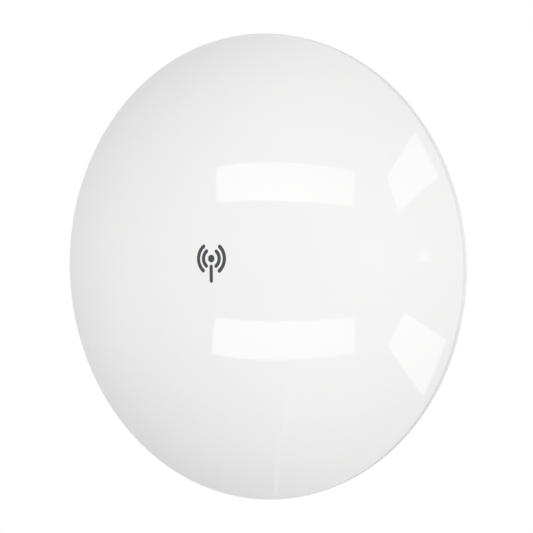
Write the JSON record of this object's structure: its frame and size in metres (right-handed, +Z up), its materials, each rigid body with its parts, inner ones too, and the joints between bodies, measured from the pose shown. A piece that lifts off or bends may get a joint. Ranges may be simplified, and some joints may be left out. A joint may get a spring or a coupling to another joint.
{
  "type": "dome-fronted directional wireless antenna",
  "caption": "White round dish antenna with a shallow convex dome over its front, a radio in its back, and a lockable ball joint on a strap clamp for a pole.",
  "frame": {"origin": "on the axis of the pole that the clamp is closed on, level with the dish's own axis", "axes": "+Z up along the pole, -Y the way the dome faces, +X to the right of someone who faces the dome"},
  "size_m": [0.189, 0.1624, 0.189],
  "materials": {
    "white_plastic": "glossy moulded white plastic",
    "natural_plastic": "satin natural plastic",
    "grey_plastic": "satin dark grey plastic",
    "black_plastic": "satin black plastic",
    "clear_plastic": "clear moulded plastic",
    "light_lens": "small indicator lamp",
    "black_rubber": "matte black rubber",
    "grey_rubber": "matte grey rubber",
    "aluminium": "plain pressed sheet",
    "steel": "stainless",
    "tinned_steel": "tinned sheet",
    "gold": "gold plated",
    "copper": "bare copper",
    "circuit_board": "green solder mask on glass laminate"
  },
  "bodies": {
    "pole_mount": {"pole_bracket": "white_plastic", "saddle_pad": "black_rubber", "strap_band": "steel", "strap_housing": "steel", "ball_stud": "grey_plastic", "stud_screws": "steel"},
    "strap_screw": {"strap_screw": "steel"},
    "ball_ring": {"ball_ring": "natural_plastic"},
    "ball_cup": {"ball_cup": "natural_plastic"},
    "antenna": {"front_radome": "white_plastic", "rim_seal": "black_rubber", "rear_housing": "white_plastic", "reflector_dish": "aluminium", "feed_base": "natural_plastic", "feed_screws": "steel", "feed_tube": "natural_plastic", "feed_board": "circuit_board", "dipole_board": "circuit_board", "dipole_cross": "copper", "feed_cap": "natural_plastic", "sub_reflector": "aluminium", "coax_jumpers": "black_rubber", "main_board": "circuit_board", "board_screws": "steel", "rf_shield": "tinned_steel", "ethernet_jack": "tinned_steel", "jack_contacts": "gold", "line_transformer": "black_plastic", "capacitors": "black_plastic", "status_lights": "light_lens", "light_pipe": "clear_plastic", "reset_switch": "black_plastic", "vent_plug": "grey_rubber", "socket_collar": "grey_plastic", "collar_screws": "steel"},
    "nut_washer": {"thrust_washer": "steel"},
    "lock_nut": {"lock_nut": "grey_plastic"},
    "port_cover": {"port_cover": "white_plastic", "cable_grommet": "black_rubber"},
    "reset_button": {"reset_button": "grey_rubber"}
  },
  "joints": [
    {"name": "strap_screw_turn", "type": "hinge", "parent": "pole_mount", "child": "strap_screw", "pos_m": [-0.0232, 0, 0], "axis": [0, 1, 0], "continuous": true},
    {"name": "pan", "type": "hinge", "parent": "pole_mount", "child": "ball_ring", "pos_m": [0, -0.051, 0], "axis": [0, 0, 1], "range_deg": [-15, 15]},
    {"name": "tilt", "type": "hinge", "parent": "ball_ring", "child": "ball_cup", "pos_m": [0, -0.051, 0], "axis": [1, 0, 0], "range_deg": [-15, 15]},
    {"name": "roll", "type": "hinge", "parent": "ball_cup", "child": "antenna", "pos_m": [0, -0.051, 0], "axis": [0, 1, 0], "range_deg": [-90, 90]},
    {"name": "nut_advance", "type": "slide", "parent": "antenna", "child": "nut_washer", "axis": [0, 1, 0], "range_m": [0, 0.0015]},
    {"name": "nut_turn", "type": "hinge", "parent": "nut_washer", "child": "lock_nut", "pos_m": [0, -0.045, 0], "axis": [0, 1, 0], "range_deg": [0, 180]},
    {"name": "cover_slide", "type": "slide", "parent": "antenna", "child": "port_cover", "axis": [0, 0, -1], "range_m": [0, 0.03]},
    {"name": "reset_press", "type": "slide", "parent": "antenna", "child": "reset_button", "axis": [0, -1, 0], "range_m": [0, 0.0006], "stiffness_N_per_m": 800}
  ],
  "couplings": [
    {"joint": "nut_turn", "follows": "nut_advance", "rad_per_m": 2094.4}
  ]
}
